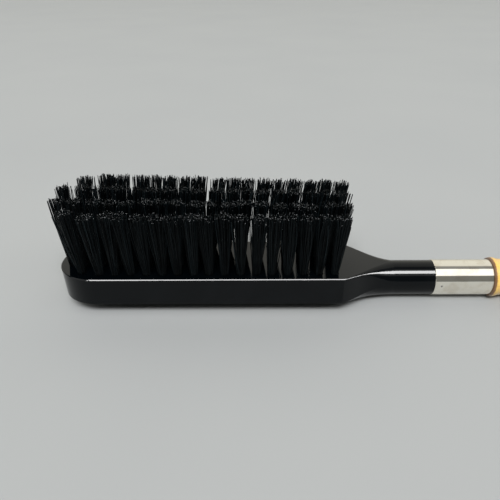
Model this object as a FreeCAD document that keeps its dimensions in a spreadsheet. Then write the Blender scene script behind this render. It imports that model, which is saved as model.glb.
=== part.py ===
"""Clothes brush: a black lacquered board set with four rows of black bristle tufts, its round neck joined
to a bamboo handle by a nickel-plated ferrule.  Millimetres.

The brush lies on its back with the bristles up.  The origin is the middle of the flat land on the back of
the head, +X runs along the handle, +Y across the head and +Z up through the bristles.
"""

import FreeCAD, Part
import math
import os

import Sketcher

V = FreeCAD.Vector

DIMENSIONS = {
    # the board's head
    "tip_to_origin": 70.0,      # from the rounded end to the origin
    "head_length": 137.2,       # from the rounded end to the corner where the shoulder starts
    "half_width": 19.05,        # at the face
    "side_draft": 0.75,         # how much each side leans in towards the back
    "thickness": 20.5,          # from the land to the face
    "crown_height": 6.5,        # the domed back, under the sides
    "land_half": 5.0,           # half the width of the flat land that the brush rests on
    "edge_bevel": 0.42,         # the softened bevel between face and sides, measured on either of them
    "edge_radius": 2.2,         # the radius to which that bevel is softened
    # shoulder, neck and tenon
    "shoulder_length": 27.0,
    "neck_radius": 8.6,
    "neck_height": 10.0,        # the handle's axis above the land
    "neck_end": 114.2,
    "tenon_radius": 8.45,
    "tenon_length": 14.0,
    # tufts and their holes
    "column_first": -48.4,      # the first column with a tuft in all four rows
    "column_pitch": 7.44,
    "row_pitch": 8.93,
    "corner_arc": 13.4,         # radius on which the tufts at the corners of the rounded end sit
    "corner_swing": 62.0,       # how far round that arc they sit, in degrees from the handle's line
    "hole_radius": 2.05,
    "hole_depth": 9.0,
    "root_radius": 2.0,
    "tuft_height": 33.9,        # from the face to the trimmed tips, at the middle of the head
    "flare_radius": 3.55,       # the tuft's radius at that height
    "trim_spare": 6.0,          # how much longer a tuft is before it is trimmed
    "tip_cant": 0.035,          # how the tips' height changes with each millimetre across the head
    "tip_slope": -0.023,        # and with each millimetre along it
    "tip_twist": -0.0011,       # and how that slope changes with each millimetre across
    "splay_across": 0.58,       # how far a tip leans out, as a share of its root's distance from the middle
    "rear_lean": 3.0,           # how far the rear row's tips lean towards the handle at the head's middle
    "lean_growth": 0.05,        # and how much further for each millimetre along the head
    "end_zone": 26.0,           # how far from the end's tufts the fan at the rounded end begins
    "end_lean": 1.2,            # how far the end's tufts lean out, in the front row
    "end_growth": 1.4,          # and how much further in the rear row
    "end_rise": 1.6,            # how much taller the front row is trimmed at the end
    # staples that hold the tufts
    "staple_half": 1.6,
    "staple_wire": 0.5,
    "staple_depth": 1.2,
    "staple_leg": 3.4,
    "staple_bite": 1.8,         # how far the legs go into the wood under the hole
    # ferrule, its pins and the dowel
    "ferrule_radius": 8.95,
    "ferrule_bore": 8.5,
    "ferrule_length": 28.8,
    "ferrule_edge": 0.15,
    "pin_radius": 0.55,
    "pin_length": 4.4,
    "pin_sunk": 0.1,
    "pin_inset": 3.2,           # from the ferrule's end to the pins
    "dowel_radius": 4.0,
    "dowel_length": 50.0,
    "dowel_play": 0.05,
    # bamboo handle
    "spigot_length": 14.0,
    "spigot_gap": 0.4,          # between the neck's tenon and the bamboo's
    "ring_radius": 9.95,        # the swollen joint that meets the ferrule
    "joint_radius": 9.3,
    "internode_radius": 8.3,
    "handle_length": 120.0,
    "handle_end_radius": 8.2,
    "handle_end_round": 1.5,
}

FULL_COLUMNS = 16               # columns with a tuft in all four rows
# How far each bamboo joint is from the ferrule: they come closer together towards the root end.
BAMBOO_JOINTS = (33.0, 63.0, 90.0, 113.0)
JOINT_HALF = 1.7                # half the width of a bamboo joint's ridge
JOINT_STEP = 0.35               # how far the ridge stands over its foot
# The shoulder between head and neck.  Each row is a cross-section: its place along the shoulder, and then
# how far the foot's half width, the face's height, the edge's bevel, the foot's height, the back's height,
# the land's half width and the edge's roundness have gone from the head's value to the neck's, all as
# shares of the whole.
SHOULDER = (
    (0.18, 0.26, 0.10, 0.05, 0.12, 0.11, 0.30, 0.75),
    (0.38, 0.57, 0.33, 0.20, 0.40, 0.36, 0.60, 1.00),
    (0.60, 0.82, 0.64, 0.50, 0.74, 0.70, 0.84, 1.00),
    (0.80, 0.93, 0.86, 0.82, 0.93, 0.92, 0.95, 1.00),
)
FLAT_LEFT = 0.05                # what is left of each straight edge in the neck's all but round section

doc = FreeCAD.newDocument("clothes_brush")
sheet = doc.addObject("Spreadsheet::Sheet", "dims")
for row, (alias, value) in enumerate(DIMENSIONS.items(), start=1):
    sheet.set(f"A{row}", alias)
    sheet.set(f"B{row}", str(value))
    sheet.setAlias(f"B{row}", alias)
doc.recompute()


def dim(alias):
    """A driving dimension, as the sheet holds it."""
    return float(sheet.get(alias))


def bind(obj, name, expression):
    """Binds a property to an expression in which each alias of the sheet is written with a leading $."""
    obj.setExpression(name, expression.replace("$", "dims."))


# ---------------------------------------------------------------------------------------- sketch helpers

def number(expression):
    """What an expression of the sheet's aliases stands for, to draw a sketch at its real size."""
    return float(sheet.evalExpression(expression.replace("$", "dims.")))


def new_sketch(body, name, role):
    """A sketch on one of the body's own origin planes."""
    sketch = body.newObject("Sketcher::SketchObject", name)
    plane = next(feature for feature in body.Origin.OriginFeatures if feature.Role == role)
    sketch.AttachmentSupport = [(plane, "")]
    sketch.MapMode = "FlatFace"
    return sketch


def rule(sketch, *words):
    sketch.addConstraint(Sketcher.Constraint(*words))


def measure(sketch, kind, where, expression):
    """A dimension of a sketch, bound to the sheet."""
    index = sketch.addConstraint(Sketcher.Constraint(kind, *where, number(expression)))
    bind(sketch, f"Constraints[{index}]", expression)


def set_point(sketch, edge, point, along, across):
    """Binds both coordinates of one of an edge's points."""
    for kind, axis, expression in (("DistanceX", -2, along), ("DistanceY", -1, across)):
        if expression == "0":
            rule(sketch, "PointOnObject", edge, point, axis)
        else:
            measure(sketch, kind, (-1, 1, edge, point), expression)


def outline(sketch, corners):
    """A closed outline of straight lines.  Each corner is two expressions, along and across."""
    points = [V(number(along), number(across), 0) for along, across in corners]
    sides = [Part.LineSegment(a, b) for a, b in zip(points, points[1:] + points[:1])]
    edges = [sketch.addGeometry(side, False) for side in sides]
    for edge, following in zip(edges, edges[1:] + edges[:1]):
        rule(sketch, "Coincident", edge, 2, following, 1)
    for edge, corner in zip(edges, corners):
        set_point(sketch, edge, 1, *corner)


def draw_arc(sketch, start, middle, end):
    """Draws an arc through three points, anticlockwise as a sketch holds every arc, and fixes its radius.

    Returns the edge, and which of its ends are the start and the end."""
    circle = Part.Arc(start, middle, end).toShape().Curve
    centre, radius = circle.Center, circle.Radius
    angles = [math.atan2(p.y - centre.y, p.x - centre.x) for p in (start, end)]
    forward = (middle - start).cross(end - start).z > 0
    low, high = angles if forward else reversed(angles)
    if high < low:
        high += 2 * math.pi
    edge = sketch.addGeometry(Part.ArcOfCircle(Part.Circle(centre, V(0, 0, 1), radius), low, high), False)
    rule(sketch, "Radius", edge, radius)
    return (edge, 1, 2) if forward else (edge, 2, 1)


def turn_about_x(body, sketch):
    revolution = body.newObject("PartDesign::Revolution", body.Name + "_turned")
    revolution.Profile = sketch
    revolution.ReferenceAxis = (sketch, ["H_Axis"])
    revolution.Angle = 360.0


def turned(name, corners):
    """A body turned about the X axis.  A corner of its outline is its place along the axis and its radius."""
    body = doc.addObject("PartDesign::Body", name)
    sketch = new_sketch(body, name + "_outline", "XZ_Plane")
    outline(sketch, corners)
    turn_about_x(body, sketch)
    return body


def on_handle_axis(obj, start="0"):
    """Puts a piece on the handle's axis, its own origin at the expression `start`."""
    bind(obj, "Placement.Base.x", start)
    bind(obj, "Placement.Base.z", "$neck_height")
    return obj


def derived(kind, name, **links):
    """A boolean or a group of other objects."""
    obj = doc.addObject(kind, name)
    for link, target in links.items():
        setattr(obj, link, target)
    return obj


def shape_node(name, shape):
    obj = doc.addObject("Part::Feature", name)
    obj.Shape = shape
    return obj


# -------------------------------------------------------------------------------------------------- board

FACE = dim("thickness")
FOOT = dim("half_width") - dim("side_draft")        # half width where a side meets the domed back
DOME_Z = (FOOT ** 2 + dim("crown_height") ** 2 - dim("land_half") ** 2) / (2 * dim("crown_height"))
DOME_RADIUS = math.hypot(dim("land_half"), DOME_Z)  # its arc is centred over the middle of the back


def dome_point(share):
    """A point of the head's domed back, from the land's edge at 0 to the foot of a side at 1."""
    low = math.atan2(dim("land_half"), DOME_Z)
    high = math.atan2(FOOT, DOME_Z - dim("crown_height"))
    angle = low + (high - low) * share
    return V(0, DOME_RADIUS * math.sin(angle), DOME_Z - DOME_RADIUS * math.cos(angle))


def bulge_of(chord, radius):
    """How far an arc rises over its chord, as a share of the chord."""
    return (radius - math.sqrt(radius ** 2 - chord ** 2 / 4)) / chord


EDGE_BULGE = bulge_of(dim("edge_bevel") * math.sqrt(2), dim("edge_radius"))
ROUND_BULGE = (math.sqrt(2) - 1) / 2                # of a quarter circle


def bevel_middle(half, top, bevel, bulge):
    """The middle of the softened bevel between a face at height `top` and a side at `half`."""
    inset = bevel * (0.5 - bulge)
    return V(half - inset, top - inset, 0)


def half_section(sketch):
    """Half the head's cross-section: plumb middle line, face, softened bevel, side, domed back and land."""
    half, bevel = dim("half_width"), dim("edge_bevel")
    face_end, side_top = V(half - bevel, FACE, 0), V(half, FACE - bevel, 0)
    foot, halfway, land_edge = [V(p.y, p.z, 0) for p in map(dome_point, (1, 0.5, 0))]
    middle_line, face, side, land = [sketch.addGeometry(Part.LineSegment(*ends), False) for ends in (
        (V(0, 0, 0), V(0, FACE, 0)),
        (V(0, FACE, 0), face_end),
        (side_top, foot),
        (land_edge, V(0, 0, 0)),
    )]
    edge_middle = bevel_middle(half, FACE, bevel, EDGE_BULGE)
    edge, edge_top, edge_foot = draw_arc(sketch, face_end, edge_middle, side_top)
    dome, dome_top, dome_foot = draw_arc(sketch, foot, halfway, land_edge)
    for words in (("Coincident", middle_line, 1, -1, 1), ("Vertical", middle_line),
                  ("Coincident", middle_line, 2, face, 1), ("Horizontal", face),
                  ("Coincident", face, 2, edge, edge_top), ("Coincident", edge, edge_foot, side, 1),
                  ("Coincident", side, 2, dome, dome_top), ("Coincident", dome, dome_foot, land, 1),
                  ("Coincident", land, 2, middle_line, 1), ("Horizontal", land)):
        rule(sketch, *words)
    measure(sketch, "DistanceY", (middle_line, 1, middle_line, 2), "$thickness")
    measure(sketch, "DistanceX", (-1, 1, face, 2), "$half_width - $edge_bevel")
    measure(sketch, "DistanceX", (-1, 1, side, 1), "$half_width")
    measure(sketch, "DistanceY", (-1, 1, side, 1), "$thickness - $edge_bevel")
    measure(sketch, "DistanceX", (-1, 1, side, 2), "$half_width - $side_draft")
    measure(sketch, "DistanceY", (-1, 1, side, 2), "$crown_height")
    measure(sketch, "DistanceX", (-1, 1, land, 1), "$land_half")


def make_head():
    """The head: half its section extruded and mirrored, and turned about the rounded end's centre."""
    body = doc.addObject("PartDesign::Body", "head")
    sketch = new_sketch(body, "head_section", "YZ_Plane")
    half_section(sketch)
    straight = body.newObject("PartDesign::Pad", "straight_half")
    straight.Profile = sketch
    bind(straight, "Length", "$head_length - $half_width")
    doc.recompute()
    mirrored = body.newObject("PartDesign::Mirrored", "straight")
    mirrored.Originals = [straight]
    mirrored.MirrorPlane = (sketch, ["V_Axis"])
    body.Tip = mirrored
    doc.recompute()
    rounded = body.newObject("PartDesign::Revolution", "rounded_end")
    rounded.Profile = sketch
    rounded.ReferenceAxis = (sketch, ["V_Axis"])
    rounded.Angle = 180.0
    body.Tip = rounded
    bind(body, "Placement.Base.x", "$half_width - $tip_to_origin")
    return body


def shoulder_section(x, foot, top, bevel, foot_height, back, land, lean, edge_bulge, bulge):
    """A closed cross-section of the board at x, with the head's eight edges.

    `lean` is the sides' draft, and the bulges are those of the edge's arc and of the back's."""
    half = foot + lean
    corner = bevel_middle(half, top, bevel, edge_bulge)
    chord = V(0, foot - land, foot_height - back)
    outward = V(0, chord.z, -chord.y) / chord.Length
    right = [
        V(x, half - bevel, top),
        V(x, corner.x, corner.y),
        V(x, half, top - bevel),
        V(x, foot, foot_height),
        V(x, land, back) + chord * 0.5 + outward * (bulge * chord.Length),
        V(x, land, back),
    ]
    left = [V(p.x, -p.y, p.z) for p in right]
    curves = [
        Part.LineSegment(left[0], right[0]),
        Part.Arc(right[0], right[1], right[2]),
        Part.LineSegment(right[2], right[3]),
        Part.Arc(right[3], right[4], right[5]),
        Part.LineSegment(right[5], left[5]),
        Part.Arc(left[5], left[4], left[3]),
        Part.LineSegment(left[3], left[2]),
        Part.Arc(left[2], left[1], left[0]),
    ]
    return Part.Wire([curve.toShape() for curve in curves])


def make_shoulder():
    """The shoulder, lofted from the head's section to the neck's, and the neck itself."""
    neck, axis, corner_x = dim("neck_radius"), dim("neck_height"), dim("head_length") - dim("tip_to_origin")
    chord = dome_point(1) - dome_point(0)
    head_bulge = bulge_of(chord.Length, DOME_RADIUS)
    head_values = (FOOT, FACE, dim("edge_bevel"), dim("crown_height"), 0.0, dim("land_half"))
    neck_values = (neck, axis + neck, neck - FLAT_LEFT, axis - FLAT_LEFT, axis - neck, FLAT_LEFT)
    wires = []
    for place, *shares in ((0.0,) * 8, *SHOULDER, (1.0,) * 8):
        values = [a + (b - a) * share for a, b, share in zip(head_values, neck_values, shares)]
        roundness, edge_roundness = shares[3], shares[6]
        lean = dim("side_draft") * (1 - roundness)
        edge_bulge = EDGE_BULGE + (ROUND_BULGE - EDGE_BULGE) * edge_roundness
        bulge = head_bulge + (ROUND_BULGE - head_bulge) * roundness
        x = corner_x + place * dim("shoulder_length")
        wires.append(shoulder_section(x, *values, lean, edge_bulge, bulge))
    shoulder = Part.makeLoft(wires, True, False)
    neck_run = dim("neck_end") - corner_x - dim("shoulder_length")
    straight = Part.Face(wires[-1]).extrude(V(neck_run, 0, 0))
    return shape_node("shoulder_and_neck", shoulder.fuse(straight))


# ------------------------------------------------------------------------------------- tufts and staples

def tuft_columns():
    """The roots of the tufts on the face: one list of (x, y) for each column across the head."""
    pitch, first = dim("column_pitch"), dim("column_first")
    rows = [dim("row_pitch") * k for k in (-1.5, -0.5, 0.5, 1.5)]
    swing = math.radians(dim("corner_swing"))
    corner_x = dim("half_width") - dim("tip_to_origin") - dim("corner_arc") * math.cos(swing)
    corner_y = dim("corner_arc") * math.sin(swing)
    ends = [(first - 2 * pitch, y) for y in rows[1:3]]
    corners = [(first - pitch, y) for y in rows[1:3]] + [(corner_x, -corner_y), (corner_x, corner_y)]
    return [ends, corners] + [[(first + k * pitch, y) for y in rows] for k in range(FULL_COLUMNS)]


def rear_share_of(y):
    """0 for a root in the front row, 1 in the rear row."""
    return 0.5 + y / (3 * dim("row_pitch"))


def end_share_of(x):
    """1 for a root at the head's rounded end, falling to 0 where the fan there begins."""
    end = dim("column_first") - 2 * dim("column_pitch")
    return max(0.0, 1 - (x - end) / dim("end_zone")) ** 1.5


def tuft_placement(x, y):
    """Turns a piece that points along X to stand at a root on the face, leaning out as its hole is drilled.

    The front row stands straight along the head, and the rows behind it lean more towards the handle; at the
    rounded end they all fan out the other way."""
    rear_share = rear_share_of(y)
    lean = math.sqrt(rear_share) * (dim("rear_lean") + dim("lean_growth") * x)
    lean -= end_share_of(x) * (dim("end_lean") + dim("end_growth") * rear_share)
    reach = V(lean, dim("splay_across") * y, dim("tuft_height"))
    return FreeCAD.Placement(V(x, y, FACE), FreeCAD.Rotation(V(1, 0, 0), reach))


def tip_height(x, y):
    """How far above the face a tuft with its root at x, y is trimmed: by hand, so not quite level."""
    rise = dim("end_rise") * end_share_of(x) * (1 - 1.5 * rear_share_of(y))
    return dim("tuft_height") + rise + dim("tip_cant") * y + (dim("tip_slope") + dim("tip_twist") * y) * x


def make_staple():
    """A staple in its hole: its crown lies across the fold of the tuft and its legs bite into the wood."""
    body = doc.addObject("PartDesign::Body", "staple")
    sketch = new_sketch(body, "staple_outline", "XY_Plane")
    tips = "0 - $hole_depth - $staple_bite"
    crown = tips + " + $staple_leg"
    outline(sketch, [
        (tips, "0 - $staple_half"),
        (crown, "0 - $staple_half"),
        (crown, "$staple_half"),
        (tips, "$staple_half"),
        (tips, "$staple_half - $staple_wire"),
        (crown + " - $staple_wire", "$staple_half - $staple_wire"),
        (crown + " - $staple_wire", "$staple_wire - $staple_half"),
        (tips, "$staple_wire - $staple_half"),
    ])
    pad = body.newObject("PartDesign::Pad", "staple_wire")
    pad.Profile = sketch
    bind(pad, "Length", "$staple_depth")
    pad.Midplane = True
    return body


def make_tuft():
    """A tuft before it is trimmed: a round root in its hole, flaring above the face."""
    tips = "$tuft_height + $trim_spare"
    flare = "$root_radius + ($flare_radius - $root_radius) * ($tuft_height + $trim_spare) / $tuft_height"
    return turned("tuft", [
        ("0 - $hole_depth", "0"),
        ("0 - $hole_depth", "$root_radius"),
        ("0", "$root_radius"),
        (tips, flare),
        (tips, "0"),
    ])


def copies(prototype, placements):
    return [prototype.Shape.transformed(place.toMatrix()) for place in placements]


def make_columns(tuft, staple):
    """The tufts, one node for each column, each notched round its staple and trimmed level."""
    reach = 2 * dim("tip_to_origin")
    nodes = []
    for column, roots in enumerate(tuft_columns(), start=1):
        places = [tuft_placement(x, y) for x, y in roots]
        trimmed = []
        for (x, y), tuft_copy, staple_copy in zip(roots, copies(tuft, places), copies(staple, places)):
            above = Part.makeBox(2 * reach, reach, reach, V(-reach, -reach / 2, FACE + tip_height(x, y)))
            trimmed.append(tuft_copy.cut(staple_copy).cut(above))
        nodes.append(shape_node(f"bristle_column_{column:02d}", Part.makeCompound(trimmed)))
    return nodes


def make_drillings():
    """What is drilled for the tufts: a blind hole for each, open at the face."""
    drill = doc.addObject("Part::Cylinder", "tuft_drill")
    bind(drill, "Radius", "$hole_radius")
    bind(drill, "Height", "$hole_depth + $trim_spare")
    doc.recompute()
    lay_along_x = FreeCAD.Placement(V(-dim("hole_depth"), 0, 0), FreeCAD.Rotation(V(0, 1, 0), 90))
    places = [tuft_placement(x, y) * lay_along_x for column in tuft_columns() for x, y in column]
    return shape_node("tuft_holes", Part.makeCompound(copies(drill, places)))


# --------------------------------------------------------------------------- ferrule, dowel and handle

def make_ferrule_tube():
    """The ferrule before its pins: a thin tube with its outer corners broken."""
    return on_handle_axis(turned("ferrule_tube", [
        ("0", "$ferrule_bore"),
        ("0", "$ferrule_radius - $ferrule_edge"),
        ("$ferrule_edge", "$ferrule_radius"),
        ("$ferrule_length - $ferrule_edge", "$ferrule_radius"),
        ("$ferrule_length", "$ferrule_radius - $ferrule_edge"),
        ("$ferrule_length", "$ferrule_bore"),
    ]), "$neck_end")


def make_pins():
    """Two small pins that hold the ferrule on the neck's tenon, driven level from the front and the back."""
    pin = doc.addObject("Part::Cylinder", "pin")
    bind(pin, "Radius", "$pin_radius")
    bind(pin, "Height", "$pin_length")
    doc.recompute()
    x, outer = dim("neck_end") + dim("pin_inset"), dim("ferrule_radius") - dim("pin_sunk")
    places = [FreeCAD.Placement(V(x, side * outer, dim("neck_height")),
                                FreeCAD.Rotation(V(0, 0, 1), V(0, -side, 0))) for side in (-1, 1)]
    return shape_node("ferrule_pins", Part.makeCompound(copies(pin, places)))


def make_pin_bores():
    """The pins' bores, run out through the ferrule."""
    bore = doc.addObject("Part::Cylinder", "pin_bores")
    bind(bore, "Radius", "$pin_radius")
    bind(bore, "Height", "2 * $ferrule_radius + 2")
    bore.Placement = FreeCAD.Placement(V(0, 0, 0), FreeCAD.Rotation(V(1, 0, 0), -90))
    bind(bore, "Placement.Base.x", "$neck_end + $pin_inset")
    bind(bore, "Placement.Base.y", "0 - $ferrule_radius - 1")
    bind(bore, "Placement.Base.z", "$neck_height")
    return bore


def rod(name, radius, length, start):
    """A round rod along the handle's axis."""
    obj = doc.addObject("Part::Cylinder", name)
    bind(obj, "Radius", radius)
    bind(obj, "Height", length)
    obj.Placement = FreeCAD.Placement(V(0, 0, 0), FreeCAD.Rotation(V(0, 1, 0), 90))
    return on_handle_axis(obj, start)


def make_bamboo_culm():
    """The bamboo before its bore: a tenon in the ferrule, a swollen joint against the ferrule's end, and
    waisted lengths between ridged joints.  Its outline is a closed chain of lines and arcs: each entry is
    where it starts, and for an arc how far along and how far out its middle lies."""
    body = doc.addObject("PartDesign::Body", "bamboo_culm")
    sketch = new_sketch(body, "bamboo_outline", "XZ_Plane")
    joint_foot = f"$joint_radius - {JOINT_STEP}"
    chain = [
        ("$spigot_gap - $spigot_length", "0", None),
        ("$spigot_gap - $spigot_length", "$tenon_radius", None),
        ("0", "$tenon_radius", None),
        ("0", f"$ring_radius - {JOINT_STEP}", (JOINT_HALF * 0.6, dim("ring_radius"))),
    ]
    last = 2 * JOINT_HALF
    start = (f"2 * {JOINT_HALF}", f"$ring_radius - {JOINT_STEP}")
    for place in BAMBOO_JOINTS:
        chain.append((*start, ((last + place - JOINT_HALF) / 2, dim("internode_radius"))))
        chain.append((f"{place} - {JOINT_HALF}", joint_foot, (place, dim("joint_radius"))))
        last = place + JOINT_HALF
        start = (f"{place} + {JOINT_HALF}", joint_foot)
    corner = dim("handle_end_round") * (1 - math.sqrt(0.5))
    chain += [
        (*start, None),
        ("$handle_length - $handle_end_round", "$handle_end_radius",
         (dim("handle_length") - corner, dim("handle_end_radius") - corner)),
        ("$handle_length", "$handle_end_radius - $handle_end_round", None),
        ("$handle_length", "0", None),
    ]
    starts = [V(number(along), number(out), 0) for along, out, _ in chain]
    edges = []
    for (_, _, middle), a, b in zip(chain, starts, starts[1:] + starts[:1]):
        if middle:
            edges.append(draw_arc(sketch, a, V(*middle, 0), b))
        else:
            edges.append((sketch.addGeometry(Part.LineSegment(a, b), False), 1, 2))
    for (edge, _, end), (following, start, _) in zip(edges, edges[1:] + edges[:1]):
        rule(sketch, "Coincident", edge, end, following, start)
    for (edge, start, _), (along, out, _) in zip(edges, chain):
        set_point(sketch, edge, start, along, out)
    turn_about_x(body, sketch)
    return on_handle_axis(body, "$neck_end + $ferrule_length")


# -------------------------------------------------------------------------------------------------- brush

head = make_head()
tuft = make_tuft()
staple = make_staple()
pin_bores = make_pin_bores()
doc.recompute()

columns = make_columns(tuft, staple)
roots = [tuft_placement(x, y) for column in tuft_columns() for x, y in column]
staples = shape_node("tuft_staples", Part.makeCompound(copies(staple, roots)))
pins = make_pins()

dowel = rod("joint_dowel", "$dowel_radius", "$dowel_length",
            "$neck_end + $tenon_length + $spigot_gap / 2 - $dowel_length / 2")
dowel_bore = rod("dowel_bore", "$dowel_radius + $dowel_play", "$dowel_length + 2 * $dowel_play",
                 "$neck_end + $tenon_length + $spigot_gap / 2 - $dowel_length / 2 - $dowel_play")
tenon = rod("neck_tenon", "$tenon_radius", "$tenon_length + 1", "$neck_end - 1")
blank = derived("Part::MultiFuse", "board_blank", Shapes=[head, make_shoulder(), tenon])
cutters = derived("Part::Compound", "board_cutters", Links=[make_drillings(), staples, dowel_bore, pin_bores])
board = derived("Part::Cut", "brush_board", Base=blank, Tool=cutters)
ferrule = derived("Part::Cut", "ferrule", Base=make_ferrule_tube(), Tool=pin_bores)
handle = derived("Part::Cut", "bamboo_handle", Base=make_bamboo_culm(), Tool=dowel_bore)
doc.recompute()

NODES = [board, staples, *columns, ferrule, pins, dowel, handle]
for obj in doc.Objects:
    if {"Invalid", "Error"} & set(obj.State):
        raise RuntimeError(f"{obj.Label} did not recompute: {obj.State}")
for node in NODES:
    if node.Shape.isNull() or not node.Shape.isValid():
        raise RuntimeError(f"{node.Label} has no valid shape")
for node in (board, ferrule, dowel, handle):
    if len(node.Shape.Solids) != 1:
        raise RuntimeError(f"{node.Label} isn't one solid")

os.makedirs("parts", exist_ok=True)
for node in NODES:
    node.Shape.exportStep(f"parts/{node.Label}.step")
    box = node.Shape.optimalBoundingBox(False)
    print(f"{node.Label:20s} solids {len(node.Shape.Solids):3d} volume {node.Shape.Volume:10.1f} mm3"
          f"  x {box.XMin:7.1f} {box.XMax:7.1f}"
          f"  y {box.YMin:6.1f} {box.YMax:6.1f}"
          f"  z {box.ZMin:6.1f} {box.ZMax:6.1f}")
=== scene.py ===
"""Looks for the clothes brush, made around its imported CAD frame.

Lengths are in metres, or in millimetres where a value is multiplied by MM.  +X runs along the handle and +Z
up through the bristles, and the brush lies on its back on the floor at z = 0."""

import math

import bpy
import numpy as np
from mathutils import Matrix, Quaternion, Vector


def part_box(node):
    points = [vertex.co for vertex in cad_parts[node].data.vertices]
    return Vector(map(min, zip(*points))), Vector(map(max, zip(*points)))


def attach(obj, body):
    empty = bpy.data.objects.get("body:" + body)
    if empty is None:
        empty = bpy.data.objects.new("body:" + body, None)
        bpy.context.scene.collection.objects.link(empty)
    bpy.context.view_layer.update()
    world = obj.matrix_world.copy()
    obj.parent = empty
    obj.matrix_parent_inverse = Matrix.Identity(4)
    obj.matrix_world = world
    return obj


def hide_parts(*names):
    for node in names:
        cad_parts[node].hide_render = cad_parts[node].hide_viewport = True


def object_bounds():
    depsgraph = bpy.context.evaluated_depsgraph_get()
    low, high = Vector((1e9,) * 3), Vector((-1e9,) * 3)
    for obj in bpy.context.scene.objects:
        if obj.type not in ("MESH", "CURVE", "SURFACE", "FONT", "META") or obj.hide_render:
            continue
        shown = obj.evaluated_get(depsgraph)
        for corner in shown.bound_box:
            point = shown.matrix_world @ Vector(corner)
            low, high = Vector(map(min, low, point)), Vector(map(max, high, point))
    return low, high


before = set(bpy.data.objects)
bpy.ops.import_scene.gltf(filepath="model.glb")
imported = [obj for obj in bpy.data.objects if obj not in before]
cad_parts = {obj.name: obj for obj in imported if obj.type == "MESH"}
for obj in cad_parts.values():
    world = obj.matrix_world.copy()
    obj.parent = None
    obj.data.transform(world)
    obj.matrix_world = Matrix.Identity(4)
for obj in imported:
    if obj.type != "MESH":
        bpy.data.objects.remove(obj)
CAD_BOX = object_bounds()

MM = 0.001
SEED = 71
rng = np.random.default_rng(SEED)

BOARD_LOW, BOARD_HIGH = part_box("brush_board")
FERRULE_LOW, FERRULE_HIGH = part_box("ferrule")
BAMBOO_LOW, BAMBOO_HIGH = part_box("bamboo_handle")
DOWEL_LOW, DOWEL_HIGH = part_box("joint_dowel")
FACE = BOARD_HIGH.z                                 # the board's face, from which the tufts stand up
AXIS = (FERRULE_LOW.z + FERRULE_HIGH.z) / 2         # height of the handle's axis


# ---------------------------------------------------------------------------------------------- node trees

class Graph:
    """A small helper for node trees: it adds nodes and links or sets their inputs."""

    def __init__(self, tree):
        self.tree = tree

    def set(self, node, inputs):
        for name, value in inputs.items():
            if isinstance(value, bpy.types.NodeSocket):
                self.tree.links.new(value, node.inputs[name])
            else:
                node.inputs[name].default_value = value
        return node

    def add(self, kind, inputs=None, **properties):
        node = self.tree.nodes.new("ShaderNode" + kind)
        for name, value in properties.items():
            setattr(node, name, value)
        return self.set(node, inputs or {})

    def math(self, operation, a, b=0.0, c=0.0):
        return self.add("Math", {0: a, 1: b, 2: c}, operation=operation).outputs[0]

    def remap(self, value, low, high, to_low=0.0, to_high=1.0):
        """Clamped, smooth remapping of a value."""
        inputs = {"Value": value, "From Min": low, "From Max": high, "To Min": to_low, "To Max": to_high}
        return self.add("MapRange", inputs, interpolation_type="SMOOTHSTEP").outputs["Result"]

    def mix(self, share, a, b):
        """A colour between a and b."""
        node = self.add("Mix", {"Factor": share}, data_type="RGBA")
        for name, value in (("A_Color", a), ("B_Color", b)):
            socket = next(s for s in node.inputs if s.identifier == name)
            if isinstance(value, bpy.types.NodeSocket):
                self.tree.links.new(value, socket)
            else:
                socket.default_value = (*value, 1.0)
        return next(s for s in node.outputs if s.identifier == "Result_Color")

    def place(self, stretch=(1.0, 1.0, 1.0)):
        """Object coordinates in millimetres, divided by stretch to draw a pattern out along an axis."""
        at = self.add("TexCoord").outputs["Object"]
        scale = [1.0 / (MM * s) for s in stretch]
        return self.add("Mapping", {"Vector": at, "Scale": scale}).outputs["Vector"]

    def noise(self, size, stretch=(1.0, 1.0, 1.0), detail=3.0, roughness=0.5, distortion=0.0):
        """Noise whose patches are about `size` millimetres, from 0 to 1."""
        inputs = {"Vector": self.place(stretch), "Scale": 1.0 / size, "Detail": detail,
                  "Roughness": roughness, "Distortion": distortion}
        return self.add("TexNoise", inputs).outputs["Fac"]

    def attribute(self, name):
        return self.add("Attribute", attribute_name=name).outputs["Fac"]

    def bump(self, height, depth, below=None):
        """A bump of `depth` millimetres for a height from 0 to 1, laid over another bump."""
        inputs = {"Height": height, "Distance": depth * MM, "Strength": 1.0}
        if below is not None:
            inputs["Normal"] = below
        return self.add("Bump", inputs).outputs["Normal"]


def material(name, make):
    """A material with one Principled shader, whose inputs are what make(graph) returns."""
    made = bpy.data.materials.new(name)
    made.use_nodes = True
    graph = Graph(made.node_tree)
    graph.set(made.node_tree.nodes["Principled BSDF"], make(graph))
    return made


DUST_SPACING = 9.0              # size of the cells that can hold a speck of dust, in millimetres
DUST_RADIUS = 0.014             # of a speck, as a share of its cell
DUSTY_SHARE = 0.28              # of the cells that do hold one


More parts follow.
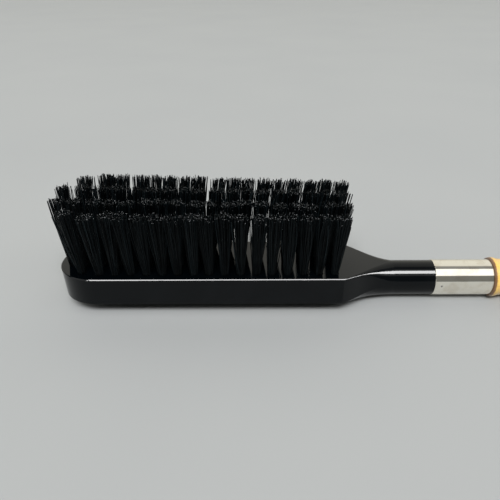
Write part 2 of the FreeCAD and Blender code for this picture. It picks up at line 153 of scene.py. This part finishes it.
def lacquer(g):
    """Glossy black lacquer: a faint orange peel, smudges, hairline scratches and a few specks of dust."""
    peel = g.bump(g.noise(2.6, detail=2.0), 0.006)
    scratches = g.noise(0.35, stretch=(22.0, 1.0, 1.0), detail=1.0)
    normal = g.bump(g.remap(scratches, 0.62, 0.75), 0.0015, peel)
    smudges = g.remap(g.noise(14.0, detail=4.0, distortion=0.6), 0.45, 0.75)
    cells = g.add("TexVoronoi", {"Vector": g.place(), "Scale": 1 / DUST_SPACING, "Randomness": 1.0})
    speck = g.math("LESS_THAN", cells.outputs["Distance"], DUST_RADIUS)
    cell_value = g.add("SeparateColor", {"Color": cells.outputs["Color"]}).outputs[0]
    chosen = g.math("GREATER_THAN", cell_value, 1 - DUSTY_SHARE)
    dust = g.math("MULTIPLY", speck, chosen)
    black = g.mix(smudges, (0.0004, 0.0009, 0.0014), (0.0012, 0.0018, 0.0024))
    gloss = g.math("MULTIPLY_ADD", smudges, 0.05, 0.035)
    return {
        "Base Color": g.mix(dust, black, (0.16, 0.165, 0.165)),
        "Roughness": g.math("ADD", gloss, g.math("MULTIPLY", dust, 0.5)),
        "IOR": 1.31,
        "Normal": normal,
    }


def bristle(g):
    """Black bristle: each filament's tone differs at random, and its lighter, bluer tones are partly painted
    sheen; its cut end is painted pale grey as a painted glint, and is duller than its side.
    """
    tone_and_sheen = g.attribute("tone_and_sheen")
    # each filament's tone differs at random; its lighter, bluish end is partly painted sheen
    side = g.mix(tone_and_sheen, (0.0002, 0.0003, 0.0004), (0.0075, 0.0115, 0.0135))
    side_roughness = g.math("MULTIPLY_ADD", tone_and_sheen, 0.14, 0.36)
    cut_end_glint = g.attribute("cut_end_glint")
    return {
        # painted glint: the cut end's pale grey stands in for light caught by the cut ends
        "Base Color": g.mix(cut_end_glint, side, (0.30, 0.31, 0.32)),
        "Roughness": g.math("MULTIPLY_ADD", cut_end_glint, 0.15, side_roughness),
        "IOR": 1.5,
        "Specular IOR Level": 0.14,
        "Specular Tint": (0.8, 0.95, 1.0, 1.0),
    }


TARNISHED_RIM = 1.2 * MM        # width of the tarnished rim


def nickel(g):
    """Nickel plate over thin brass tube: fine lines round it, shallow dents, warm tarnish by the bamboo."""
    along = g.add("SeparateXYZ", {"Vector": g.add("TexCoord").outputs["Object"]}).outputs["X"]
    rim = g.remap(along, FERRULE_HIGH.x - TARNISHED_RIM, FERRULE_HIGH.x)
    patches = g.remap(g.noise(5.0, detail=5.0, distortion=0.4), 0.42, 0.72)
    tarnish = g.math("MAXIMUM", g.math("MULTIPLY", rim, 0.75), g.math("MULTIPLY", patches, 0.3))
    lines = g.noise(0.12, stretch=(1.0, 30.0, 30.0), detail=2.0)
    dents = g.noise(7.0, stretch=(1.6, 1.0, 1.0), detail=1.5)
    return {
        "Base Color": g.mix(tarnish, (0.96, 0.92, 0.82), (0.60, 0.50, 0.36)),
        "Metallic": 1.0,
        "Roughness": g.math("MULTIPLY_ADD", tarnish, 0.08, g.math("MULTIPLY_ADD", patches, 0.02, 0.04)),
        "Normal": g.bump(lines, 0.0004, g.bump(dents, 0.035)),
    }


def steel(g):
    """Drawn steel wire, a little dull."""
    return {
        "Base Color": g.mix(g.noise(0.6), (0.30, 0.29, 0.28), (0.46, 0.45, 0.43)),
        "Metallic": 1.0,
        "Roughness": g.remap(g.noise(0.4), 0.3, 0.7, 0.25, 0.45),
    }


def dowel_wood(g):
    """Bare beech of the dowel that joins board and handle."""
    grain = g.noise(0.5, stretch=(18.0, 1.0, 1.0), detail=4.0)
    return {
        "Base Color": g.mix(grain, (0.42, 0.27, 0.15), (0.60, 0.42, 0.26)),
        "Roughness": 0.6,
        "Normal": g.bump(grain, 0.02),
    }


def bamboo(g):
    """Lacquered bamboo: golden skin with long fibres, brown scars at the joints and burnt cut ends."""
    fibres = g.noise(0.42, stretch=(45.0, 1.0, 1.0), detail=4.0, roughness=0.6)
    clouds = g.remap(g.noise(9.0, stretch=(3.0, 1.0, 1.0), detail=3.0), 0.35, 0.7)
    skin = g.mix(clouds, (0.66, 0.42, 0.105), (0.55, 0.30, 0.06))
    skin = g.mix(g.remap(fibres, 0.5, 0.8), skin, (0.48, 0.24, 0.045))
    ragged = g.math("MULTIPLY_ADD", g.noise(0.9, detail=4.0), 0.6, -0.3)
    scar = g.remap(g.math("ADD", g.attribute("scar"), ragged), 0.35, 0.8)
    burn = g.remap(g.math("ADD", g.attribute("burn"), ragged), 0.25, 0.85)
    toned = g.mix(scar, skin, (0.21, 0.095, 0.03))
    return {
        "Base Color": g.mix(burn, toned, (0.14, 0.07, 0.03)),
        "Roughness": g.math("MULTIPLY_ADD", g.math("MAXIMUM", scar, burn), 0.3, 0.28),
        "Coat Weight": 0.8,
        "Coat Roughness": 0.07,
        "Normal": g.bump(fibres, 0.018),
    }


LACQUER = material("black_lacquer", lacquer)
BRISTLE = material("black_bristle", bristle)
NICKEL = material("nickel_plate", nickel)
STEEL = material("wire_steel", steel)
DOWEL = material("dowel_wood", dowel_wood)
BAMBOO = material("lacquered_bamboo", bamboo)


SHARP_DEGREES = 75.0            # edges that bend more than this are shaded sharp


def finish_node(name, look):
    """Gives a CAD node its material."""
    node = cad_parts[name]
    if not node.material_slots:
        node.data.materials.append(look)
    for socket in node.material_slots:
        socket.material = look


def new_piece(name, points, faces, look, replaced):
    """A mesh piece of the object, in place of the CAD nodes that it replaces."""
    mesh = bpy.data.meshes.new(name)
    mesh.from_pydata(points.tolist(), [], faces)
    mesh.materials.append(look)
    mesh.shade_smooth()
    mesh.set_sharp_from_angle(angle=math.radians(SHARP_DEGREES))
    piece = bpy.data.objects.new(name, mesh)
    bpy.context.scene.collection.objects.link(piece)
    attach(piece, "root")
    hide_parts(*replaced)
    return piece


def add_attribute(piece, name, values, domain="POINT"):
    attribute = piece.data.attributes.new(name, "FLOAT", domain)
    attribute.data.foreach_set("value", np.asarray(values, np.float32))


# -------------------------------------------------------------------------------------------------- tufts

FILAMENTS = 96                  # in each tuft
SIDES = 5                       # of a filament's cross-section
RINGS = 7                       # cross-sections along a filament
THICK = 0.185 * MM              # a filament's radius at its root
TAPER = 0.78                    # its radius at the cut end, as a share of that
SUNK = 1.5 * MM                 # how far down its hole a filament starts
GOLDEN_ANGLE = math.pi * (3 - math.sqrt(5))
STRAY_SHARE = 0.07              # of the filaments, which bend further out of the tuft
FULLNESS = 1.14                 # width of a tuft's tips, as a share of the CAD tuft's
CLUMPS = 9                      # bunches that a tuft's filaments draw together in towards its tips
CLUMP_PULL = 0.25               # how far each filament is drawn to the middle of its bunch, as a share
EARLY_FAN = 0.9                 # under 1, a tuft fans out more near its root than near its tips
LOOSE = 0.55                    # how far a filament's tip strays from its place, in millimetres
STRAY_LOOSE = 1.6               # the same for a stray
TUFT_LOOSE = 0.45               # how far all the tips of a tuft stray together
BOW = 0.3                       # how far a filament bows out on its way up
STRAY_BOW = 1.2
WAVE = 0.12                     # how far it waves to one side and the other
LONGEST = 0.45                  # how far the longest filaments stand over the CAD tuft's tips
SHORTER = 0.7                   # how much shorter the others are, on average
TUFT_HEIGHT_SPREAD = 0.3        # how much the tufts differ in height

TUFT_GAP = 1.5 * MM             # the least gap between the CAD tufts of a column
ROOT_DEPTH = 1.5 * MM           # the CAD tufts' roots have all their points this close to the lowest one
TRIM_RANGE = 5 * MM             # and their tips this close to the highest one
LEVEL = 0.01 * MM               # points within this height are on one level


def clusters(points):
    """Points of a CAD column at one level, split into its tufts by the gaps in y between them."""
    points = points[np.argsort(points[:, 1])]
    gaps = np.flatnonzero(np.diff(points[:, 1]) > TUFT_GAP)
    return np.split(points, gaps + 1)


def read_tufts(node):
    """Where each CAD tuft of a column is: its middle on the face and at the tips, and its radii there."""
    points = np.array([v.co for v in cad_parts[node].data.vertices])
    top = points[:, 2].max()
    foot = points[:, 2].min()
    roots = clusters(points[points[:, 2] < foot + ROOT_DEPTH])
    tips = clusters(points[points[:, 2] > top - TRIM_RANGE])
    found = []
    for low, high in zip(roots, tips):
        high = high[high[:, 2] > high[:, 2].max() - LEVEL]
        low_middle = (low.min(0) + low.max(0)) / 2
        high_middle = (high.min(0) + high.max(0)) / 2
        share = (FACE - low_middle[2]) / (high_middle[2] - low_middle[2])
        root = low_middle + (high_middle - low_middle) * share
        found.append((root, high_middle, np.ptp(low[:, 1]) / 2, np.ptp(high[:, 1]) / 2))
    return found


def spread(count, radius):
    """Points spread evenly over a disc, a little disturbed."""
    order = np.arange(count) + 0.5
    turn = order * GOLDEN_ANGLE + rng.uniform(0, 2 * math.pi)
    out = np.sqrt(order / count) * radius
    flat = np.stack([out * np.cos(turn), out * np.sin(turn)], 1)
    return flat + rng.normal(0, 0.05 * radius, (count, 2))


def filament_lines(root, tip, root_radius, tip_radius):
    """Centre lines of a tuft's filaments, as filaments by rings by xyz, and which of them are strays."""
    start = np.zeros((FILAMENTS, 3))
    start[:, :2] = spread(FILAMENTS, root_radius - THICK)
    stray = rng.random(FILAMENTS) < STRAY_SHARE
    fan = FULLNESS * tip_radius / root_radius
    loose = np.where(stray, STRAY_LOOSE, LOOSE)[:, None] * MM
    middles = spread(CLUMPS, root_radius - THICK)
    nearest = np.linalg.norm(start[:, None, :2] - middles, axis=2).argmin(1)
    end = start * fan
    end[:, :2] += (middles[nearest] * fan - end[:, :2]) * CLUMP_PULL
    end[:, :2] += rng.normal(0, 1, (FILAMENTS, 2)) * loose
    end[:, :2] += rng.normal(0, TUFT_LOOSE, 2) * MM
    end[:, 2] = (rng.normal(0, TUFT_HEIGHT_SPREAD) - rng.exponential(SHORTER, FILAMENTS) + LONGEST) * MM
    along = np.linspace(-SUNK / (tip[2] - root[2]), 1, RINGS)[None, :, None]
    fanned = np.sign(along) * np.abs(along) ** EARLY_FAN
    lines = root + (tip - root) * along + start[:, None] + (end - start)[:, None] * fanned
    bow = rng.normal(0, 1, (FILAMENTS, 1, 3)) * np.where(stray, STRAY_BOW, BOW)[:, None, None] * MM
    wave = rng.normal(0, WAVE, (FILAMENTS, 1, 3)) * MM
    lines = lines + bow * np.sin(math.pi * along) * along + wave * np.sin(2 * math.pi * along)
    return lines, stray


def tubes(lines, thickness):
    """Closed tubes round the lines: points, faces, and how many points and faces each tube has."""
    count = len(lines)
    ahead = np.gradient(lines, axis=1)
    ahead /= np.linalg.norm(ahead, axis=2, keepdims=True)
    side = np.cross(ahead, (0.0, 1.0, 0.0))
    side /= np.linalg.norm(side, axis=2, keepdims=True)
    other = np.cross(ahead, side)
    turn = 2 * math.pi * np.arange(SIDES) / SIDES
    taper = np.linspace(1, TAPER, RINGS)[None, :, None, None]
    radius = thickness[:, None, None, None] * taper
    round_it = side[:, :, None] * np.cos(turn)[:, None] + other[:, :, None] * np.sin(turn)[:, None]
    points = (lines[:, :, None] + radius * round_it).reshape(-1, 3)
    one = []
    for ring in range(RINGS - 1):
        for k in range(SIDES):
            a, b = ring * SIDES + k, ring * SIDES + (k + 1) % SIDES
            one.append((a, b, b + SIDES, a + SIDES))
    one.append(tuple(range(SIDES))[::-1])
    one.append(tuple(range((RINGS - 1) * SIDES, RINGS * SIDES)))
    faces = [tuple(i + k * RINGS * SIDES for i in face) for k in range(count) for face in one]
    return points, faces, RINGS * SIDES, len(one)


def make_column(node):
    tufts = [filament_lines(*tuft) for tuft in read_tufts(node)]
    lines = np.concatenate([tuft_lines for tuft_lines, _ in tufts])
    stray = np.concatenate([tuft_stray for _, tuft_stray in tufts])
    low, high = np.array(CAD_BOX[0]), np.array(CAD_BOX[1])
    lines = np.clip(lines, low + 2 * THICK, high - 0.05 * MM)
    count = len(lines)
    thickness = THICK * rng.uniform(0.8, 1.15, count)
    points, faces, points_each, faces_each = tubes(lines, thickness)
    piece = new_piece(node.replace("column", "tufts"), points, faces, BRISTLE, [node])
    # each filament's tone differs at random, and strays are made lighter as painted sheen along them
    tone_and_sheen = np.maximum(rng.beta(0.6, 3.2, count), stray * rng.uniform(0.2, 1, count))
    add_attribute(piece, "tone_and_sheen", np.repeat(tone_and_sheen, points_each))
    cut_end_glint = np.zeros((count, faces_each))
    # painted glint: a few cut ends get a strong share of the pale grey
    cut_end_glint[:, -1] = rng.random(count) ** 5
    add_attribute(piece, "cut_end_glint", cut_end_glint.ravel(), "FACE")


# ------------------------------------------------------------------------------------------------- bamboo

AROUND = 128                    # points round the handle
JOINTS = (33.0, 63.0, 90.0, 113.0)      # how far each joint is from the ferrule, as on the CAD handle
JOINT_HALF = 1.7                # half the width of a joint's ridge
RING = 9.95                     # radii: the swollen joint at the ferrule, the others, the waists and the end
JOINT = 9.3
WAIST = 8.3
END = 8.2
FOOT_STEP = 0.35                # how far a ridge stands over its foot
END_ROUND = 1.5


def circle_arc(x, start, middle, end):
    """Height at x of the circle through three (x, height) points."""
    (ax, ay), (bx, by), (cx, cy) = start, middle, end
    d = 2 * (ax * (by - cy) + bx * (cy - ay) + cx * (ay - by))
    a2, b2, c2 = ax * ax + ay * ay, bx * bx + by * by, cx * cx + cy * cy
    ux = (a2 * (by - cy) + b2 * (cy - ay) + c2 * (ay - by)) / d
    uy = (a2 * (cx - bx) + b2 * (ax - cx) + c2 * (bx - ax)) / d
    reach = math.hypot(ax - ux, ay - uy)
    side = 1.0 if by > uy else -1.0
    return uy + side * np.sqrt(np.maximum(reach ** 2 - (x - ux) ** 2, 0.0))


def skin_radius(x):
    """Radius of the bamboo's skin, x millimetres from the ferrule, as on the CAD handle."""
    length = (BAMBOO_HIGH.x - FERRULE_HIGH.x) / MM
    ring_foot = RING - FOOT_STEP
    joint_foot = JOINT - FOOT_STEP
    radius = circle_arc(x, (0.0, ring_foot), (JOINT_HALF * 0.6, RING), (2 * JOINT_HALF, ring_foot))
    last, foot = 2 * JOINT_HALF, ring_foot
    for place in JOINTS:
        near, far = place - JOINT_HALF, place + JOINT_HALF
        waist = circle_arc(x, (last, foot), ((last + near) / 2, WAIST), (near, joint_foot))
        ridge = circle_arc(x, (near, joint_foot), (place, JOINT), (far, joint_foot))
        radius = np.where(x > last, waist, radius)
        radius = np.where(x > near, ridge, radius)
        last, foot = far, joint_foot
    tail = np.interp(x, (last, length - END_ROUND), (foot, END))
    radius = np.where(x > last, tail, radius)
    past = np.clip((x - (length - END_ROUND)) / END_ROUND, 0, 1)
    return radius - END_ROUND * (1 - np.sqrt(1 - past ** 2))


def bell(x, middle, width):
    return np.exp(-((x - middle) / width) ** 2)


GROOVE_DEPTH = 0.16             # of the line round each joint
GROOVE_WIDTH = 0.22
SCAR_WIDTH = 0.42               # of the brown scar along that line
WANDER = 0.18                   # how far the line wanders along the handle
FLAT_DEPTH = 0.28               # of the flattened side past each joint
OVAL_DEPTH = 0.05               # how much the skin is out of round
RING_BURN = 1.0                 # width of the brown band at the ferrule
END_BURN = 1.3                  # and of the one at the cut end
SKIN_STEP = 0.8                 # from one of the skin's rings to the next, away from joints and ends
SPIGOT_PLAY = 0.5 * MM          # the spigot's radius is this much under the ferrule's outside


def skin_stations(length):
    """Where the skin's rings are, in millimetres from the ferrule: closer together at the joints and ends."""
    steps = [np.linspace(0, 4, 34), np.arange(4.5, length - END_ROUND, SKIN_STEP)]
    steps += [np.linspace(place - 3, place + 3, 49) for place in JOINTS]
    steps += [length - END_ROUND + END_ROUND * np.sin(np.linspace(0, math.pi / 2, 12))]
    return np.unique(np.round(np.concatenate(steps), 4))


def grown_skin(x, turn, length):
    """The skin's radius, how scarred and how burnt it is, for each ring and each place round it."""
    radius = skin_radius(x)[:, None] * np.ones(AROUND)
    grid_x = x[:, None] * np.ones(AROUND)
    scar = np.zeros_like(radius)
    phases = rng.uniform(0, 2 * math.pi, (len(JOINTS), 4))
    for place, phase in zip(JOINTS, phases):
        wander = WANDER * np.sin(turn + phase[0]) + 0.08 * np.sin(3 * turn + phase[1])
        groove = bell(grid_x, place + 0.25 + wander, GROOVE_WIDTH)
        radius -= GROOVE_DEPTH * groove
        scar = np.maximum(scar, bell(grid_x, place + 0.3 + wander, SCAR_WIDTH))
    for place, phase in zip(JOINTS, phases):
        flat_side = np.maximum(np.cos(turn - phase[2]), 0) ** 8
        radius -= FLAT_DEPTH * flat_side * bell(grid_x, place + 8.0, 6.0)
    ends_clear = np.clip(grid_x / 3, 0, 1) * np.clip((length - grid_x) / 3, 0, 1)
    radius -= OVAL_DEPTH * (1 + np.sin(2 * turn + 0.05 * grid_x)) * ends_clear
    burn = np.maximum(bell(grid_x, 0.2, RING_BURN), bell(grid_x, length, END_BURN))
    return radius, scar, burn


def lathe_faces(rings):
    """Faces of a closed lathed form: its rings in order, and then a point for each end."""
    faces = []
    for ring in range(rings - 1):
        for k in range(AROUND):
            a, b = ring * AROUND + k, ring * AROUND + (k + 1) % AROUND
            faces.append((a, b, b + AROUND, a + AROUND))
    first, last = rings * AROUND, rings * AROUND + 1
    for k in range(AROUND):
        after = (k + 1) % AROUND
        faces.append((first, after, k))
        faces.append((last, first - AROUND + k, first - AROUND + after))
    return [face[::-1] for face in faces]


def make_bamboo():
    """The handle: spigot and bore hidden in the ferrule, then the skin, and the rounded cut end."""
    length = (BAMBOO_HIGH.x - FERRULE_HIGH.x) / MM
    x = skin_stations(length)
    turn = 2 * math.pi * np.arange(AROUND) / AROUND
    radius, scar, burn = grown_skin(x, turn, length)
    rings, scars, burns = [], [], []

    def add_ring(where, size, scarred, burnt):
        across = size * np.ones(AROUND)
        rings.append(np.stack([np.full(AROUND, where), across * np.cos(turn), across * np.sin(turn)], 1))
        scars.append(scarred * np.ones(AROUND))
        burns.append(burnt * np.ones(AROUND))

    bore = (DOWEL_HIGH.z - DOWEL_LOW.z) / 2
    spigot = (FERRULE_HIGH.z - FERRULE_LOW.z) / 2 - SPIGOT_PLAY
    add_ring(DOWEL_HIGH.x, bore, 0.0, 0.0)
    add_ring(BAMBOO_LOW.x, bore, 0.0, 0.0)
    add_ring(BAMBOO_LOW.x, spigot, 0.0, 0.0)
    add_ring(FERRULE_HIGH.x, spigot, 0.0, 1.0)
    for k in range(len(x)):
        add_ring(FERRULE_HIGH.x + x[k] * MM, radius[k] * MM, scar[k], burn[k])
    for share in (0.97, 0.8, 0.5, 0.2):
        add_ring(BAMBOO_HIGH.x, radius[-1] * MM * share, 0.0, 0.75 * share ** 2)

    ends = np.array([[DOWEL_HIGH.x, 0, 0], [BAMBOO_HIGH.x, 0, 0]])
    points = np.concatenate([*rings, ends]) + (0, 0, AXIS)
    faces = lathe_faces(len(rings))
    piece = new_piece("bamboo_skin", points, faces, BAMBOO, ["bamboo_handle"])
    add_attribute(piece, "scar", np.concatenate([*scars, [0, 0]]))
    add_attribute(piece, "burn", np.concatenate([*burns, [0, 0]]))


# ------------------------------------------------------------------------------------------- studio, camera

FLOOR_HALF = 40.0               # half the floor's width


def make_floor():
    half = FLOOR_HALF
    corners = [(-half, -half, 0), (half, -half, 0), (half, half, 0), (-half, half, 0)]
    mesh = bpy.data.meshes.new("studio_floor")
    mesh.from_pydata(corners, [], [(0, 1, 2, 3)])
    floor = bpy.data.objects.new("studio_floor", mesh)
    bpy.context.scene.collection.objects.link(floor)
    mesh.materials.append(material("pale_floor", lambda g: {
        "Base Color": g.mix(g.noise(160.0, detail=2.0), (0.272, 0.281, 0.284), (0.296, 0.304, 0.303)),
        "Roughness": 0.6,
        "Specular IOR Level": 0.2,
    }))


# Radiance round the brush, by the angle about the handle's axis: 0 is the front horizon, 90 straight up and
# 180 the rear horizon.
SKY = (
    (0.0, (0.16, 0.165, 0.16)),
    (36.0, (0.18, 0.18, 0.17)),
    (41.0, (1.25, 1.25, 1.24)),
    (81.0, (1.25, 1.25, 1.24)),
    (85.0, (0.24, 0.245, 0.24)),
    (101.0, (0.26, 0.26, 0.255)),
    (107.0, (0.76, 0.75, 0.69)),
    (150.0, (0.80, 0.79, 0.72)),
    (180.0, (0.60, 0.58, 0.50)),
)
SKY_PEAK = 2.0                  # the sky's colours are stored as shares of this radiance


def make_sky():
    world = bpy.data.worlds.new("studio_sky")
    world.use_nodes = True
    bpy.context.scene.world = world
    g = Graph(world.node_tree)
    way = g.add("SeparateXYZ", {"Vector": g.add("TexCoord").outputs["Generated"]}).outputs
    angle = g.math("ARCTAN2", way["Z"], g.math("MULTIPLY", way["Y"], -1.0))
    ramp = g.add("ValToRGB", {"Fac": g.math("DIVIDE", angle, math.pi)})
    stops = ramp.color_ramp.elements
    for degrees, colour in SKY:
        ends = {0.0: stops[0], 180.0: stops[-1]}
        stop = ends.get(degrees) or stops.new(degrees / 180.0)
        stop.color = (*[c / SKY_PEAK for c in colour], 1.0)
    g.set(world.node_tree.nodes["Background"], {"Color": ramp.outputs["Color"], "Strength": SKY_PEAK})


LIGHT_DISTANCE = 12.0           # from the middle of the board to a softbox


def make_light(name, elevation, width, height, radiance, hidden_from, only_on=(), tilt=0.0, shift=0.0):
    """A softbox in front of the brush that faces it, turned by `tilt` degrees and shifted along its length.

    Its power follows from how bright its face is.  The long highlight on the lacquer and the soft light on
    matt surfaces come from separate softboxes, so each is hidden from the other's kind of reflection."""
    data = bpy.data.lights.new(name, "AREA")
    data.shape = "RECTANGLE"
    data.size, data.size_y = width, height
    data.energy = radiance * math.pi * width * height
    light = bpy.data.objects.new(name, data)
    up = math.radians(elevation)
    aim = Vector(((BOARD_LOW.x + BOARD_HIGH.x) / 2, 0, 0))
    light.location = aim + Vector((0, -math.cos(up), math.sin(up))) * LIGHT_DISTANCE
    light.rotation_mode = "QUATERNION"
    turn = (aim - light.location).to_track_quat("-Z", "Y")
    light.rotation_quaternion = turn @ Quaternion((0, 0, 1), math.radians(tilt))
    light.location += light.rotation_quaternion @ Vector((shift, 0, 0))
    light.visible_camera = False
    setattr(light, "visible_" + hidden_from, False)
    if only_on:
        lit = bpy.data.collections.new("lit_by_" + name)
        for node in only_on:
            lit.objects.link(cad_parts[node])
        light.light_linking.receiver_collection = lit
    bpy.context.scene.collection.objects.link(light)


CAMERA_PLACE = Vector((22.8, -230.8, 153.8)) * MM
CAMERA_DOWN = math.radians(29.0)
CAMERA_YAW = math.radians(0.06)
CAMERA_ROLL = math.radians(-0.15)
CAMERA_LENS = 38.6


def make_camera():
    ahead = Vector((math.sin(CAMERA_YAW) * math.cos(CAMERA_DOWN),
                    math.cos(CAMERA_YAW) * math.cos(CAMERA_DOWN), -math.sin(CAMERA_DOWN)))
    level = ahead.cross(Vector((0, 0, 1))).normalized()
    plumb = level.cross(ahead)
    right = level * math.cos(CAMERA_ROLL) + plumb * math.sin(CAMERA_ROLL)
    upward = plumb * math.cos(CAMERA_ROLL) - level * math.sin(CAMERA_ROLL)
    data = bpy.data.cameras.new("camera")
    data.lens = CAMERA_LENS
    data.sensor_width = 36.0
    data.clip_start = 0.01
    data.clip_end = 200.0
    camera = bpy.data.objects.new("camera", data)
    turn = Matrix((right, upward, -ahead)).transposed()
    camera.matrix_world = Matrix.Translation(CAMERA_PLACE) @ turn.to_4x4()
    bpy.context.scene.collection.objects.link(camera)
    bpy.context.scene.camera = camera


make_camera()
make_floor()
make_sky()
make_light("strip_softbox", 61.6, 46.0, 4.0, 38.0, "diffuse", only_on=["brush_board"], tilt=5.5, shift=18.0)
make_light("front_softbox", 52.0, 8.0, 3.2, 25.0, "glossy")
bpy.context.scene.view_settings.view_transform = "Standard"

finish_node("brush_board", LACQUER)
finish_node("tuft_staples", STEEL)
finish_node("ferrule", NICKEL)
finish_node("ferrule_pins", STEEL)
finish_node("joint_dowel", DOWEL)
for column in sorted(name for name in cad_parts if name.startswith("bristle_column")):
    make_column(column)
make_bamboo()
